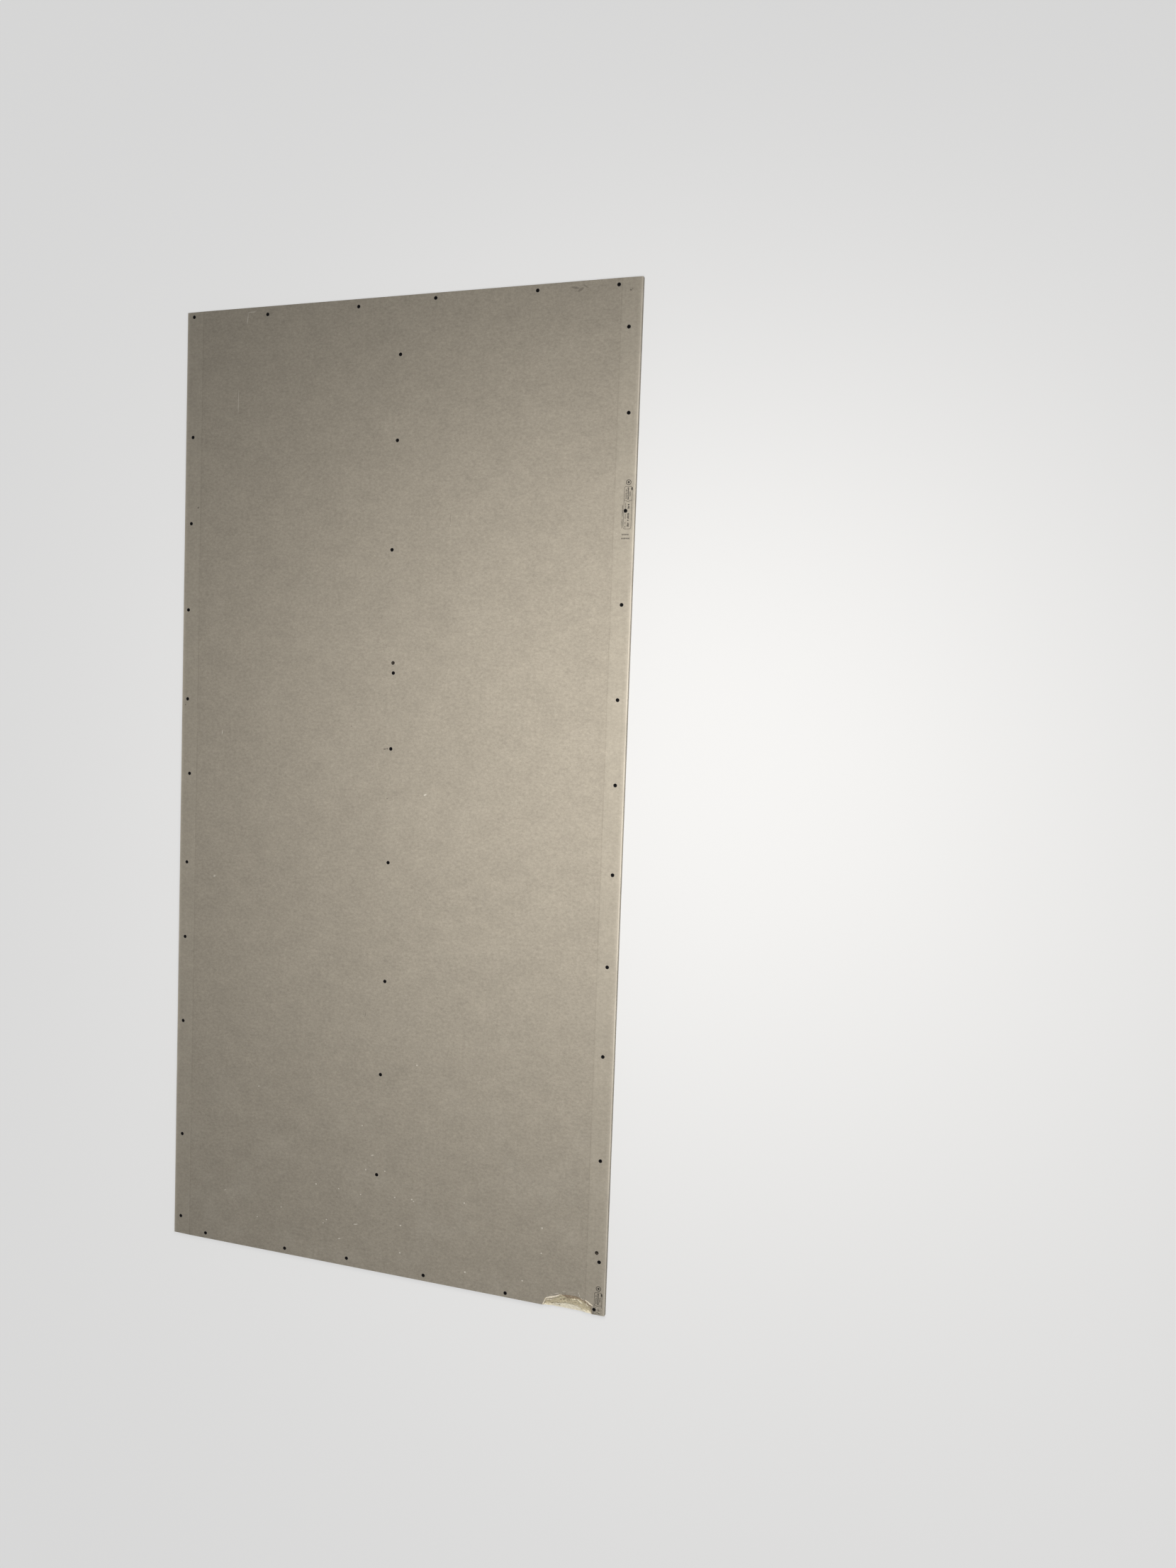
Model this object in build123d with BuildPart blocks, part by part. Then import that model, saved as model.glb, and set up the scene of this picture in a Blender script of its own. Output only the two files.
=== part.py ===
from build123d import *
from itertools import cycle
import os

os.makedirs("parts", exist_ok=True)

# One full sheet of gypsum wallboard, lying on its back with the good face up. The origin is the
# middle of the back, +X runs across the sheet, +Y along it to the top end, +Z out of the good face.
sheet_width = 1200
sheet_length = 2400
sheet_thickness = 12.5

# Both long edges are pressed thinner on the face side, so that joint tape and filler end up flush.
# Paper is wrapped round these edges, which rounds their corners. The two short ends are sawn square.
taper_width = 50
taper_depth = 1.4
face_corner_radius = 1.6
back_corner_radius = 1.0

# The countersink that a drywall screw presses for its trumpet head, and its thread's hole below it.
# The cone is set out a little above the face, so that it runs out of the tilted taper all round.
seat_diameter = 9.0
seat_angle = 62
seat_lead = 0.2
thread_hole_diameter = 3.7

# The screws were driven by eye. In each row the first stands so far from the row's start, the
# others follow gap by gap, and each wanders a little off the row's line. The rows down the sheet
# start at its top end and the rows across it at its left edge. A very short gap is a screw that
# missed its stud, with the next one driven right beside it.
left_row_inset = 20.5
left_row_first = 313
left_row_gaps = (218, 220, 229, 193, 232, 197, 224, 304, 223)
left_row_wander = (1, 0, -5, -3.5, 6, 2, 0, -2, 0.5, 0)
left_row_clear_end = 40

middle_row_first = 138
middle_row_gaps = (203, 261, 273, 24.5, 185, 280, 296, 235.5, 255.5)
middle_row_wander = (3.5, 1, -6, 4.5, 6, 4.5, 5, 4.5, -1, -4.5)
middle_row_clear_end = 120

right_row_inset = 23.5
right_row_first = 109
right_row_gaps = (191, 219, 212, 217, 196, 208, 216, 212, 248.5, 221.5, 21.5)
right_row_wander = (-6, 1, 2, 1, 0, 2, 3.5, -1, -3.5, 0, -0.5, 6)
right_row_clear_end = 100

top_row_inset = 15
top_row_first = 20
top_row_gaps = (215, 253, 204, 257, 195)
top_row_wander = (3, -4.5, -3, 3, 1.5, 0.5)
top_row_clear_end = 30

bottom_row_inset = 14
bottom_row_first = 98.5
bottom_row_gaps = (239, 179, 214, 218.5, 225.5)
bottom_row_wander = (-0.5, 0, 5.5, 0, -4, -2)
bottom_row_clear_end = 15

# At the bottom end, near the right edge, a knock broke the face away in two layers: a wide one under
# the torn paper, and a short deep one where the core was crushed along the cut end. Each is a hollow
# with sloping walls. The outlines of its rim and of its floor have the same number of points, each
# given by its distances from the right edge and from the cut end. A floor is deepest at that end, and
# it rises along the sheet by its slope.
torn_rim = (
    (157, -2), (149, 19), (137, 25), (123, 29), (109, 36), (84, 37.5),
    (72, 38), (60, 35), (45, 30), (31, 20), (29, -2),
)
torn_floor = (
    (151, -2), (144, 14), (133, 19), (120, 22), (106, 27), (85, 28),
    (73, 29), (62, 27), (49, 22), (37, 13), (34, -2),
)
torn_end_depth = 5.6
torn_floor_slope = 0.105

crushed_rim = ((146, -2), (134, 8), (116, 12), (98, 17), (76, 15), (58, 9), (44, -2))
crushed_floor = ((138, -2), (126, 3), (112, 7), (96, 10), (78, 9), (62, 4), (52, -2))
crushed_end_depth = 8.8
crushed_floor_slope = 0.28

# A rim is set out this far above the surface that it is broken into, so that its wall cuts through
rim_lead = 0.4

half_width = sheet_width / 2
half_length = sheet_length / 2
edge_height = sheet_thickness - taper_depth


def face_height(x):
    """Height of the good face above the back, at a distance x from the sheet's middle line."""
    into_taper = max(0, abs(x) - (half_width - taper_width))
    return sheet_thickness - taper_depth * into_taper / taper_width


def set_out(first, gaps, last_place):
    """Places along one row: the first screw, then gap after gap while they stay within last_place."""
    places = [first]
    for gap in cycle(gaps):
        if places[-1] + gap > last_place:
            return places
        places.append(places[-1] + gap)


def row_down(line_x, first, gaps, wander, clear_end):
    """Screws of a row that runs down the sheet from the top end, along the line x = line_x."""
    places = set_out(first, gaps, sheet_length - clear_end)
    return [(line_x + off, half_length - place) for place, off in zip(places, cycle(wander))]


def row_across(line_y, first, gaps, wander, clear_end):
    """Screws of a row that runs across the sheet from the left edge, along the line y = line_y."""
    places = set_out(first, gaps, sheet_width - clear_end)
    return [(place - half_width, line_y + off) for place, off in zip(places, cycle(wander))]


def outline(points, height, slope):
    """A flat outline that has its height at the cut end and rises by its slope along the sheet."""
    corner_plane = Plane((half_width, -half_length, height), (1, 0, 0), (0, -slope, 1))
    with BuildSketch(corner_plane) as flat:
        with BuildLine():
            Polyline(*[(-across, up) for across, up in points], close=True)
        make_face()
    return flat.sketch


left_x = left_row_inset - half_width
right_x = half_width - right_row_inset
top_y = half_length - top_row_inset
bottom_y = bottom_row_inset - half_length
screws = [
    *row_down(left_x, left_row_first, left_row_gaps, left_row_wander, left_row_clear_end),
    *row_down(0, middle_row_first, middle_row_gaps, middle_row_wander, middle_row_clear_end),
    *row_down(right_x, right_row_first, right_row_gaps, right_row_wander, right_row_clear_end),
    *row_across(top_y, top_row_first, top_row_gaps, top_row_wander, top_row_clear_end),
    *row_across(bottom_y, bottom_row_first, bottom_row_gaps, bottom_row_wander, bottom_row_clear_end),
]

with BuildPart() as drywall_sheet:
    # Section across the sheet, with its face falling away to both long edges
    with BuildSketch(Plane.XZ):
        with BuildLine():
            Polyline(
                (-half_width, 0),
                (half_width, 0),
                (half_width, edge_height),
                (half_width - taper_width, sheet_thickness),
                (taper_width - half_width, sheet_thickness),
                (-half_width, edge_height),
                close=True,
            )
        make_face()
    extrude(amount=half_length, both=True)

    # Corners that the paper is wrapped round
    back_corners = edges().filter_by(Axis.Y).group_by(Axis.Z)[0]
    fillet(back_corners, back_corner_radius)
    face_corners = edges().filter_by(Axis.Y).group_by(Axis.Z)[-2]
    fillet(face_corners, face_corner_radius)

    # Screw seats, each set out from the height that the face has there and bored through the back
    with Locations(*[(x, y, face_height(x) + seat_lead) for x, y in screws]):
        CounterSinkHole(
            radius=thread_hole_diameter / 2,
            counter_sink_radius=seat_diameter / 2,
            depth=2 * sheet_thickness,
            counter_sink_angle=seat_angle,
        )

    # The broken corner: what tore away below the face, and what was crushed below that hollow's floor
    loft(
        [
            outline(torn_rim, sheet_thickness + rim_lead, 0),
            outline(torn_floor, sheet_thickness - torn_end_depth, torn_floor_slope),
        ],
        ruled=True,
        mode=Mode.SUBTRACT,
    )
    loft(
        [
            outline(crushed_rim, sheet_thickness - torn_end_depth + rim_lead, torn_floor_slope),
            outline(crushed_floor, sheet_thickness - crushed_end_depth, crushed_floor_slope),
        ],
        ruled=True,
        mode=Mode.SUBTRACT,
    )

drywall_sheet.part.label = "drywall_sheet"
export_step(drywall_sheet.part, "parts/drywall_sheet.step")
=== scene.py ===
import math
import random
from functools import reduce

import bmesh
import bpy
from mathutils import Matrix, Vector, noise
from mathutils.bvhtree import BVHTree


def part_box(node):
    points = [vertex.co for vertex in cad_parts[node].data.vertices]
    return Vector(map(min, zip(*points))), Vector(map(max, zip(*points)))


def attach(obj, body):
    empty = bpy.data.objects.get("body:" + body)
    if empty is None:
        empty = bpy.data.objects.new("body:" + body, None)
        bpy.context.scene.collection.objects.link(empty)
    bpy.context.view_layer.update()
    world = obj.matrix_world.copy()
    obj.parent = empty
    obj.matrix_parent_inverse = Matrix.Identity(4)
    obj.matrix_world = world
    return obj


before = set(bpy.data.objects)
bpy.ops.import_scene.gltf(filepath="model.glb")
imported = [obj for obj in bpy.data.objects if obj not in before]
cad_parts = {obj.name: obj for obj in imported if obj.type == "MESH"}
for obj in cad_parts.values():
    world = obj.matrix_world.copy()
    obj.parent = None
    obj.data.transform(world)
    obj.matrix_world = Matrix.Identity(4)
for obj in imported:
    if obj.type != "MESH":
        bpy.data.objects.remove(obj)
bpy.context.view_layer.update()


# The sheet: gypsum cast between two papers, one solid as packed, lying on its back with the good face up.
# The face paper is wrapped round both long edges, which are pressed thinner for joint tape and filler.
# The short ends are sawn, so they show the core between the two papers.
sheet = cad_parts["drywall_sheet"]
half_width, half_length, sheet_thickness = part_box("drywall_sheet")[1]
taper_width = 0.050
taper_depth = 0.0014
crease_inset = 0.0485
crease_wander = 0.003
paper_thickness = 0.00045
flap_width = 0.021
flap_wander = 0.004


def tape(across, down):
    """A place on the sheet in metres, from its distances in mm to the left edge and the top end."""
    return across / 1000 - half_width, half_length - down / 1000


def screw_holes():
    """The middles of the screw holes, from the corners that their bores have in the back."""
    on_back, edge_margin, hole_width = 1e-6, 0.002, 0.006
    rims = []
    for corner in sheet.data.vertices:
        x, y, z = corner.co
        if z > on_back or abs(x) > half_width - edge_margin or abs(y) > half_length - edge_margin:
            continue
        for rim in rims:
            if math.hypot(x - rim[0][0], y - rim[0][1]) < hole_width:
                rim.append((x, y))
                break
        else:
            rims.append([(x, y)])
    middles = []
    for rim in rims:
        across = [x for x, y in rim]
        along = [y for x, y in rim]
        middles.append(((min(across) + max(across)) / 2, (min(along) + max(along)) / 2))
    return sorted(middles, key=lambda middle: -middle[1])


def missed(hole):
    """True for an empty hole: its screw missed the stud, and the next one stands right below it."""
    aside, closest, farthest = 0.012, 0.012, 0.030
    return any(abs(hole[0] - x) < aside and closest < hole[1] - y < farthest for x, y in holes)


holes = screw_holes()
empty_holes = [hole for hole in holes if missed(hole)]
screwed_holes = [hole for hole in holes if hole not in empty_holes]


def colour(red, green, blue):
    """A colour given as 0 to 255 for a screen, as the linear colour that a socket takes."""
    linear = [(part / 255 + 0.055) ** 2.4 / 1.055**2.4 for part in (red, green, blue)]
    return (*linear, 1.0)


class Wiring:
    """Adds nodes to a material, a group or a world. What goes in is a value or another node's output."""

    def __init__(self, tree):
        self.tree = tree

    def feed(self, socket, value):
        if isinstance(value, bpy.types.NodeSocket):
            self.tree.links.new(value, socket)
        else:
            socket.default_value = value

    def node(self, kind, inputs, output=0, **settings):
        made = self.tree.nodes.new("ShaderNode" + kind)
        for name, value in settings.items():
            setattr(made, name, value)
        for name, value in inputs.items():
            self.feed(made.inputs[name], value)
        return made.outputs[output]

    def math(self, operation, *values):
        return self.node("Math", dict(enumerate(values)), operation=operation)

    def vector(self, operation, *values, output=0):
        return self.node("VectorMath", dict(enumerate(values)), output, operation=operation)

    def in_turn(self, operation, values):
        return reduce(lambda so_far, value: self.math(operation, so_far, value), values)

    def product(self, *values):
        return self.in_turn("MULTIPLY", values)

    def most(self, *values):
        return self.in_turn("MAXIMUM", values)

    def least(self, *values):
        return self.in_turn("MINIMUM", values)

    def minus(self, value, taken):
        return self.math("SUBTRACT", value, taken)

    def rising(self, value, start, end, low=0.0, high=1.0):
        """low before start and high after end, with a smooth step between, or the other way round."""
        ends = {"From Min": start, "From Max": end, "To Min": low, "To Max": high}
        return self.node("MapRange", {"Value": value, **ends}, interpolation_type="SMOOTHSTEP")

    def swing(self, value, amount):
        """1 where a noise is at its middle of 0.5, and more or less by its share of amount."""
        return self.math("MULTIPLY_ADD", value, amount, 1 - amount / 2)

    def placed(self, vector, location=(0, 0, 0), turn=0.0, scale=(1, 1, 1), kind="POINT"):
        inputs = {"Vector": vector, "Location": location, "Rotation": (0, 0, turn), "Scale": scale}
        return self.node("Mapping", inputs, vector_type=kind)

    def noise(self, vector, scale, detail=2.0, roughness=0.5, distortion=0.0):
        inputs = {"Vector": vector, "Scale": scale, "Detail": detail}
        return self.node("TexNoise", {**inputs, "Roughness": roughness, "Distortion": distortion})

    def mixed(self, mask, first, second, kind="MIX"):
        inputs = {0: mask, 6: first, 7: second}
        return self.node("Mix", inputs, output=2, data_type="RGBA", blend_type=kind)

    def mixed_value(self, mask, first, second):
        return self.node("Mix", {0: mask, 2: first, 3: second}, data_type="FLOAT")

    def toned(self, tint, tone):
        """A colour made lighter or darker by a tone."""
        grey = self.node("CombineColor", {0: tone, 1: tone, 2: tone})
        return self.mixed(1.0, tint, grey, "MULTIPLY")

    def bump(self, height, strength=1.0, distance=1.0):
        return self.node("Bump", {"Strength": strength, "Distance": distance, "Height": height})

    def group(self, group, **inputs):
        """Places a node group with its inputs and gives all that it puts out."""
        return self.node("Group", inputs, node_tree=group).node.outputs


def new_group(name, inputs, outputs):
    """An empty node group with these sockets: its wiring, its inputs inside and its outputs inside."""
    tree = bpy.data.node_groups.new(name, "ShaderNodeTree")
    for way, sockets in (("INPUT", inputs), ("OUTPUT", outputs)):
        for socket, kind in sockets.items():
            tree.interface.new_socket(socket, in_out=way, socket_type="NodeSocket" + kind)
    into = tree.nodes.new("NodeGroupInput").outputs
    out = tree.nodes.new("NodeGroupOutput").inputs
    return Wiring(tree), into, out


def new_material(name):
    """A material with one Principled shader, its wiring, the shader's inputs and the place on the piece."""
    material = bpy.data.materials.new(name)
    material.use_nodes = True
    wiring = Wiring(material.node_tree)
    shader = material.node_tree.nodes["Principled BSDF"].inputs
    return material, wiring, shader, wiring.node("TexCoord", {}, output="Object")


def paper_group():
    """Board paper: grey recycled pulp, cloudy where it lay thicker, with short fibres mostly across."""
    sockets = {"Place": "Vector", "Pulp": "Color", "Fibre": "Color", "Contrast": "Float"}
    wiring, into, out = new_group("board_paper_pulp", sockets, {"Color": "Color", "Height": "Float"})
    across = wiring.placed(into["Place"], scale=(0.8, 1.1, 1.0))
    clouds = wiring.noise(across, 16.0, detail=3.0, roughness=0.95)
    grain = wiring.noise(across, 150.0, detail=3.5, roughness=0.9)
    strands = wiring.noise(across, 320.0, detail=1.0, roughness=0.6, distortion=1.2)
    patchy = wiring.noise(into["Place"], 160.0, detail=1.0)
    hairs = wiring.rising(wiring.math("ABSOLUTE", wiring.minus(strands, 0.5)), 0.018, 0.004)
    light_hairs = wiring.product(hairs, wiring.rising(patchy, 0.50, 0.62))
    dark_hairs = wiring.product(hairs, wiring.rising(patchy, 0.46, 0.36))
    tone = wiring.product(wiring.swing(clouds, 0.34), wiring.swing(grain, 0.85))
    tone = wiring.math("MULTIPLY_ADD", wiring.minus(tone, 1.0), into["Contrast"], 1.0)
    pulp = wiring.toned(into["Pulp"], tone)
    pulp = wiring.mixed(wiring.product(light_hairs, 0.22), pulp, into["Fibre"])
    pulp = wiring.mixed(wiring.product(dark_hairs, 0.20), pulp, colour(104, 96, 84))
    wiring.feed(out["Color"], pulp)
    relief = wiring.math("ADD", wiring.product(grain, 0.00006), wiring.product(light_hairs, 0.00002))
    wiring.feed(out["Height"], relief)
    return wiring.tree


def gypsum_group():
    """Gypsum core: a cream plaster full of small round bubbles, whiter where it is crushed to powder."""
    sockets = {"Place": "Vector", "Body": "Color", "Powder": "Color", "Crushed": "Float"}
    wiring, into, out = new_group("gypsum_body", sockets, {"Color": "Color", "Height": "Float"})
    lumps = wiring.noise(into["Place"], 160.0, detail=4.0, roughness=0.65)
    grit = wiring.noise(into["Place"], 1100.0)
    bubble = wiring.node("TexVoronoi", {"Vector": into["Place"], "Scale": 900.0}, feature="F1")
    bubble = wiring.rising(bubble, 0.34, 0.16)
    # Painted shade: the bubbles are coloured a little darker, as shade in their hollows
    bubble_shade = wiring.rising(bubble, 0.0, 1.0, 1.0, 0.88)
    tone = wiring.product(wiring.swing(lumps, 0.42), wiring.swing(grit, 0.20), bubble_shade)
    body = wiring.mixed(into["Crushed"], into["Body"], into["Powder"])
    wiring.feed(out["Color"], wiring.toned(body, tone))
    relief = wiring.math("MULTIPLY_ADD", lumps, 0.0004, wiring.product(grit, 0.00008))
    wiring.feed(out["Height"], wiring.minus(relief, wiring.product(bubble, 0.00005)))
    return wiring.tree


def distance_group(name, middles):
    """Distance in metres to the nearest of some holes, seen along the sheet's thickness."""
    wiring, into, out = new_group(name, {"Place": "Vector"}, {"Distance": "Float"})
    flat = wiring.vector("MULTIPLY", into["Place"], (1.0, 1.0, 0.0))
    away = [wiring.vector("DISTANCE", flat, (x, y, 0.0), output="Value") for x, y in middles]
    wiring.feed(out["Distance"], wiring.least(*away))
    return wiring.tree


def mark_group(name, marks):
    """Marks on the face with ragged edges. Each has its place on the tape, half its length and half its
    width in mm, its turn in degrees from across the sheet, and its strength."""
    wiring, into, out = new_group(name, {"Place": "Vector"}, {"Mark": "Float"})
    flat = wiring.vector("MULTIPLY", into["Place"], (1.0, 1.0, 0.0))
    ragged = wiring.noise(flat, 420.0).node.outputs["Color"]
    ragged = wiring.vector("SUBTRACT", ragged, (0.5, 0.5, 0.5))
    ragged = wiring.vector("MULTIPLY_ADD", ragged, (0.0022, 0.0022, 0.0), flat)
    drawn = []
    for across, down, half_long, half_wide, turn, strength in marks:
        middle = (*tape(across, down), 0.0)
        scale = (half_long / 1000, half_wide / 1000, 1.0)
        inside = wiring.placed(ragged, middle, math.radians(turn), scale, kind="TEXTURE")
        inside = wiring.vector("LENGTH", inside, output="Value")
        drawn.append(wiring.rising(inside, 1.15, 0.55, 0.0, strength))
    wiring.feed(out["Mark"], wiring.most(*drawn))
    return wiring.tree


paper_pulp = paper_group()
gypsum_body = gypsum_group()
near_screw = distance_group("distance_to_screw", screwed_holes)
near_empty_hole = distance_group("distance_to_empty_hole", empty_holes)

# Spots and dashes of gypsum dust, mostly low on the sheet, pale scratches, and pale torn fibres round the
# broken corner, two of them partly painted highlight on lifted paper flaps
pale_marks = mark_group("dust_fibres_and_flap_highlights", [
    (155, 230, 30, 0.9, 90, 0.45), (190, 11, 13, 1.2, 0, 0.5), (178, 27, 15, 1.2, 84, 0.5),
    (124, 1062, 6, 1.0, 84, 0.8), (700, 1192, 5, 2.2, 35, 0.6), (108, 1435, 4, 3.0, 30, 0.5),
    (698, 1860, 2.2, 1.6, 0, 0.8), (252, 1971, 2.0, 1.6, 30, 0.8), (552, 2032, 2.0, 1.8, 0, 0.8),
    (582, 2104, 4.5, 1.3, 20, 0.8), (618, 2139, 2.2, 1.8, 0, 0.9), (565, 2143, 2.2, 1.6, 60, 0.8),
    (425, 2202, 2.6, 2.0, 0, 0.9), (490, 2204, 2.2, 1.8, 0, 0.8), (552, 2209, 2.6, 1.6, 20, 0.9),
    (647, 2202, 2.2, 1.8, 0, 0.9), (694, 2199, 2.4, 2.0, 0, 0.9), (699, 2203, 2.0, 1.6, 0, 0.8),
    (835, 2185, 2.4, 1.8, 0, 0.9), (1038, 2213, 2.2, 1.8, 0, 0.8), (665, 2270, 2.6, 1.8, 10, 0.9),
    (1038, 2275, 2.0, 1.6, 0, 0.8), (325, 2279, 2.2, 1.8, 0, 0.8), (157, 2260, 4.0, 1.2, 25, 0.7),
    (457, 2290, 2.2, 1.8, 0, 0.9), (540, 2288, 7.0, 1.3, 12, 0.8), (448, 2300, 2.0, 1.6, 0, 0.8),
    (495, 2333, 4.5, 1.3, 15, 0.8), (255, 2316, 2.2, 1.8, 0, 0.8), (665, 2340, 2.4, 1.8, 0, 0.9),
    (842, 2357, 2.6, 2.0, 0, 0.9), (992, 2351, 2.4, 1.8, 0, 0.9), (1135.2, 2355.6, 2.8, 0.8, -58, 0.85),
    # The streaks at 1080 and 1099 across are lifted paper flaps, their paleness partly painted highlight
    (1137.8, 2360.6, 3.2, 0.85, -72, 0.85), (1080, 2365.6, 7.0, 1.0, 14, 0.6),
    (1099, 2358.2, 6.5, 0.9, 20, 0.4), (1118, 2356.0, 9.0, 0.8, 2, 0.2), (1057, 2376.6, 2.4, 0.6, 26, 0.5),
    (1068, 2371.6, 2.8, 0.55, 10, 0.45), (1127, 2361.2, 3.0, 0.55, -8, 0.4),
    (1148, 2366.6, 2.6, 0.6, -30, 0.5), (1163, 2375.6, 2.4, 0.55, -42, 0.45),
    (1181, 2383, 5.0, 0.8, 35, 0.5), (1186, 2379, 4.0, 0.7, 20, 0.4),
])

# Smudges and nicks that the sheet took on site, and two painted shadows under lifted paper flaps above the
# broken corner
dark_marks = mark_group("smudges_nicks_and_flap_shadows", [
    (1040, 14, 12, 3.0, -12, 0.45), (1054, 19, 9, 3.5, 30, 0.5), (1066, 13, 8, 2.0, -35, 0.4),
    (1172, 28, 2.8, 2.2, 0, 0.8), (1176, 26, 2.0, 1.2, 60, 0.6), (41, 491, 3.0, 2.4, 0, 0.75),
    (746, 531, 16, 1.1, 87, 0.30), (795, 517, 2.6, 1.8, 60, 0.22), (495, 1033, 1.8, 1.5, 0, 0.75),
    (598, 1207, 1.8, 1.5, 0, 0.75), (11, 995, 2.2, 1.6, 20, 0.8), (588, 1085.5, 4.0, 1.8, 10, 0.8),
    (595, 1084.5, 3.2, 1.6, -10, 0.75), (553, 1750, 7.0, 0.9, 80, 0.6), (1184.5, 2386, 3.0, 1.4, 65, 0.55),
    (1189, 2388, 2.6, 1.2, -60, 0.5), (1187.5, 2396.5, 3.2, 1.0, 5, 0.55), (1181, 2394, 2.4, 1.2, 40, 0.5),
    # The marks at 1080 and 1098 across are painted shadows under lifted paper flaps
    (1080, 2368.0, 5.0, 0.8, 12, 0.5), (1098, 2361.8, 5.5, 0.8, -12, 0.55), (1178, 2397, 4.0, 1.6, 20, 0.4),
])


def board_material():
    """The sheet's one finish. Each face of it is told by its place and its direction."""
    material, wiring, shader, place = new_material("board_paper")
    facing = place.node.outputs["Normal"]
    at = wiring.node("SeparateXYZ", {0: place}).node.outputs
    side = wiring.math("ABSOLUTE", at["X"])
    end = wiring.math("ABSOLUTE", at["Y"])
    facing_up = wiring.node("SeparateXYZ", {0: facing}, output="Z")
    into_taper = wiring.most(wiring.minus(side, half_width - taper_width), 0.0)
    face = wiring.math("MULTIPLY_ADD", into_taper, -taper_depth / taper_width, sheet_thickness)
    depth = wiring.minus(face, at["Z"])

    # Face paper. It is pressed smoother and paler in the tapers, with a soft darker line where they start,
    # and it is paler where it folds round the long edges: partly rubbed paper, partly a painted highlight
    # along the rounded edge
    pulp = wiring.group(
        paper_pulp, Place=place, Pulp=colour(160, 152, 138), Fibre=colour(196, 189, 174), Contrast=1.0,
    )
    wobble = wiring.noise(wiring.placed(place, scale=(0.2, 1.0, 1.0)), 9.0, detail=3.0)
    from_crease = wiring.minus(side, half_width - crease_inset)
    from_crease = wiring.math("MULTIPLY_ADD", wobble, crease_wander, from_crease)
    from_crease = wiring.minus(from_crease, crease_wander / 2)
    in_taper = wiring.rising(from_crease, -0.001, 0.003)
    crease = wiring.rising(wiring.math("ABSOLUTE", from_crease), 0.0028, 0.0)
    crease = wiring.product(crease, wiring.rising(wobble, 0.35, 0.6, 0.35, 1.0))
    roller_lines = wiring.noise(wiring.placed(place, scale=(1.0, 0.01, 1.0)), 260.0, detail=1.0)
    roller_lines = wiring.product(wiring.minus(roller_lines, 0.42), in_taper, 0.30)
    paper = wiring.mixed(wiring.product(in_taper, 0.16), pulp["Color"], colour(176, 168, 152))
    paper = wiring.mixed(wiring.most(roller_lines, 0.0), paper, colour(186, 178, 162))
    paper = wiring.mixed(wiring.product(crease, 0.20), paper, colour(120, 113, 100))
    # Paler band along the long edges: rubbed paper and a painted highlight on the rounded edge
    near_edge = wiring.rising(side, half_width - 0.012, half_width - 0.004, 0.0, 0.22)
    folded_edge_wear_and_highlight = wiring.rising(side, half_width - 0.0044, half_width - 0.0016, near_edge, 1.0)
    folded_edge_wear_and_highlight = wiring.product(folded_edge_wear_and_highlight, wiring.rising(wobble, 0.3, 0.6, 0.36, 0.70))
    paper = wiring.mixed(folded_edge_wear_and_highlight, paper, colour(212, 204, 188))

    # Marks on it: site dust, scratches, smudges, pale torn fibres round the broken corner with painted
    # highlights and painted shadows of lifted flaps, and round each screw a ring frayed pale and a ring
    # rubbed dark, which is partly phosphate dirt and partly painted shade round the seat
    speck_edges = wiring.noise(place, 420.0)
    cells = wiring.node("TexVoronoi", {"Vector": place, "Scale": 34.0}, voronoi_dimensions="2D")
    chosen = wiring.node("SeparateColor", {0: cells.node.outputs["Color"]})
    dusty = wiring.math("LESS_THAN", chosen, wiring.rising(at["Y"], -0.35, -1.15, 0.015, 0.10))
    specks = wiring.math("MULTIPLY_ADD", speck_edges, 0.03, cells)
    specks = wiring.product(wiring.rising(specks, 0.048, 0.024), dusty, 0.5)
    film = wiring.noise(place, 7.0, detail=4.0, roughness=0.7)
    film = wiring.product(wiring.rising(film, 0.45, 0.75), wiring.rising(at["Y"], -0.5, -1.2, 0.02, 0.09))
    to_empty = wiring.group(near_empty_hole, Place=place)["Distance"]
    to_hole = wiring.least(wiring.group(near_screw, Place=place)["Distance"], to_empty)
    frayed = wiring.noise(place, 520.0, detail=3.0)
    burr = wiring.math("MULTIPLY_ADD", frayed, -0.0018, to_hole)
    burr = wiring.product(wiring.rising(burr, 0.0056, 0.0040), 0.10)
    # The dark ring round each seat is partly phosphate dirt and partly painted shade round its rim
    rubbed = wiring.product(wiring.rising(to_hole, 0.0053, 0.0045), 0.55)
    pale = wiring.group(pale_marks, Place=place)["Mark"]
    dark = wiring.group(dark_marks, Place=place)["Mark"]
    paper = wiring.mixed(wiring.most(pale, specks, film, burr), paper, colour(222, 216, 203))
    paper = wiring.mixed(wiring.most(wiring.product(dark, 0.85), rubbed), paper, colour(74, 69, 62))

    # Back paper: browner and more fibrous, laid over the two flaps of face paper round the long edges
    elsewhere = wiring.placed(place, (0.37, 0.11, 0.0), scale=(0.8, 0.8, 1.0))
    liner = wiring.group(
        paper_pulp, Place=elsewhere, Pulp=colour(151, 140, 121), Fibre=colour(188, 178, 158), Contrast=1.35,
    )
    flap_edge = wiring.minus(side, half_width - flap_width)
    flap_edge = wiring.math("MULTIPLY_ADD", wobble, flap_wander, flap_edge)
    flap = wiring.rising(flap_edge, 0.0016, 0.0022)
    flap_line = wiring.rising(wiring.math("ABSOLUTE", wiring.minus(flap_edge, 0.0019)), 0.0012, 0.0002)
    back = wiring.mixed(flap, liner["Color"], pulp["Color"])
    back = wiring.mixed(wiring.product(flap_line, 0.45), back, colour(112, 102, 86))
    paper = wiring.mixed(wiring.rising(facing_up, -0.4, -0.7), paper, back)

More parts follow.
